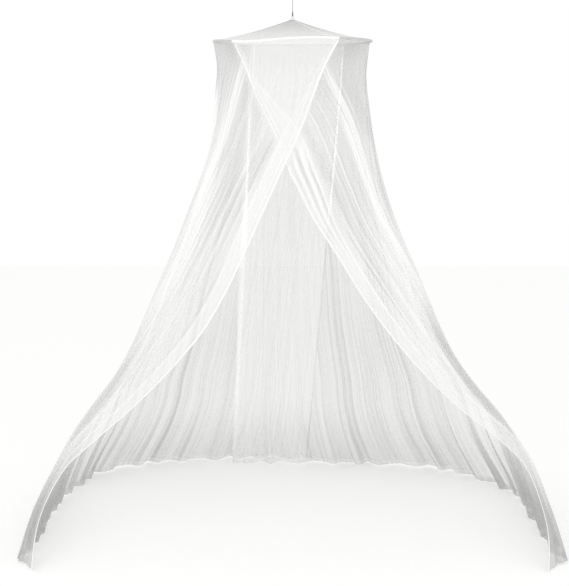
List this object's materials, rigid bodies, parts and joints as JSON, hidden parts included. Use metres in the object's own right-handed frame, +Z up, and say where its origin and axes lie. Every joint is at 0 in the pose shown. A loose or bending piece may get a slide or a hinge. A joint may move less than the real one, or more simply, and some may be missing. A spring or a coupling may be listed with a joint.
{
  "type": "mosquito net canopy with its hoop and hanging cord",
  "caption": "Sheer bed canopy: net roof and two skirt panels on a round hoop, crossing at the front and drawn open to both sides, hung from the ceiling by a cord.",
  "frame": {"origin": "the ceiling point that the cord's top loop hangs from; the whole canopy lies below it and its hem is 2.36 m down", "axes": "+Z up, -Y to the open front, +X to the right as seen from the front"},
  "size_m": [2.275, 1.639, 2.3603],
  "materials": {
    "net": "sheer white polyester netting",
    "tape": "white woven binding tape",
    "rod": "smooth white rod",
    "cord": "twisted light grey cord",
    "ferrule": "dull grey"
  },
  "bodies": {
    "root": {"roof_net": "net", "right_skirt_panel": "net", "left_skirt_panel": "net", "apex_cap": "net", "hoop": "rod", "hoop_band": "tape", "right_front_edge_tape": "tape", "right_back_edge_tape": "tape", "left_front_edge_tape": "tape", "left_back_edge_tape": "tape", "cord_ferrule": "ferrule", "hanging_cord": "cord", "loop_knot": "cord", "ceiling_loop": "cord"}
  },
  "joints": []
}
